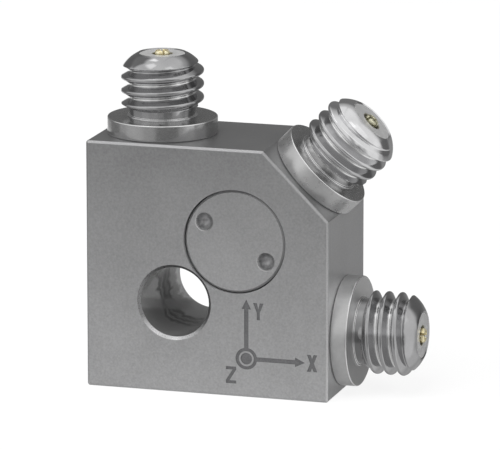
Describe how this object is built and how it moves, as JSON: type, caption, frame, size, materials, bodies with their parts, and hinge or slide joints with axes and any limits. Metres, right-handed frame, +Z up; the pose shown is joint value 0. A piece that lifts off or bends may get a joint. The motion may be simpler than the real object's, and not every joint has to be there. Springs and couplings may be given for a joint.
{
  "type": "triaxial vibration sensor",
  "caption": "Square block accelerometer with a cut corner, a through mounting hole, a round screwed cover and threaded coaxial connectors on the top, the cut corner and the side.",
  "frame": {"origin": "centre of the mounting hole on the back face, which sits on the machine", "axes": "+X to the right along the engraved X arrow, +Z up along the engraved Y arrow, -Y out of the front face with the cover"},
  "size_m": [0.0193, 0.0076, 0.0193],
  "materials": {
    "block_steel": "fine satin",
    "cover_steel": "fine satin",
    "turned_steel": "bright turned",
    "glass_seal": "glazed",
    "gold_contact": "gold plated",
    "lead_insulation": "matte",
    "post_steel": "ground",
    "crystal": "fired",
    "electrode_foil": "foil",
    "mass_metal": "ground",
    "board_laminate": "solder mask",
    "chip_body": "moulded",
    "passive_ceramic": "fired"
  },
  "bodies": {
    "root": {"housing": "block_steel", "cover": "cover_steel", "x_connector_shell": "turned_steel", "y_connector_shell": "turned_steel", "z_connector_shell": "turned_steel", "x_connector_seal": "glass_seal", "y_connector_seal": "glass_seal", "z_connector_seal": "glass_seal", "x_centre_contact": "gold_contact", "y_centre_contact": "gold_contact", "z_centre_contact": "gold_contact", "x_lead_wire": "lead_insulation", "y_lead_wire": "lead_insulation", "z_lead_wire": "lead_insulation", "element_post": "post_steel", "x_crystal_plate": "crystal", "y_crystal_plate": "crystal", "z_crystal_plate": "crystal", "x_electrode": "electrode_foil", "y_electrode": "electrode_foil", "z_electrode": "electrode_foil", "x_seismic_mass": "mass_metal", "y_seismic_mass": "mass_metal", "z_seismic_mass": "mass_metal", "x_element_lead": "electrode_foil", "y_element_lead": "electrode_foil", "z_element_lead": "electrode_foil", "circuit_board": "board_laminate", "x_amplifier_chip": "chip_body", "y_amplifier_chip": "chip_body", "z_amplifier_chip": "chip_body", "resistors": "passive_ceramic", "capacitors": "passive_ceramic"}
  },
  "joints": []
}
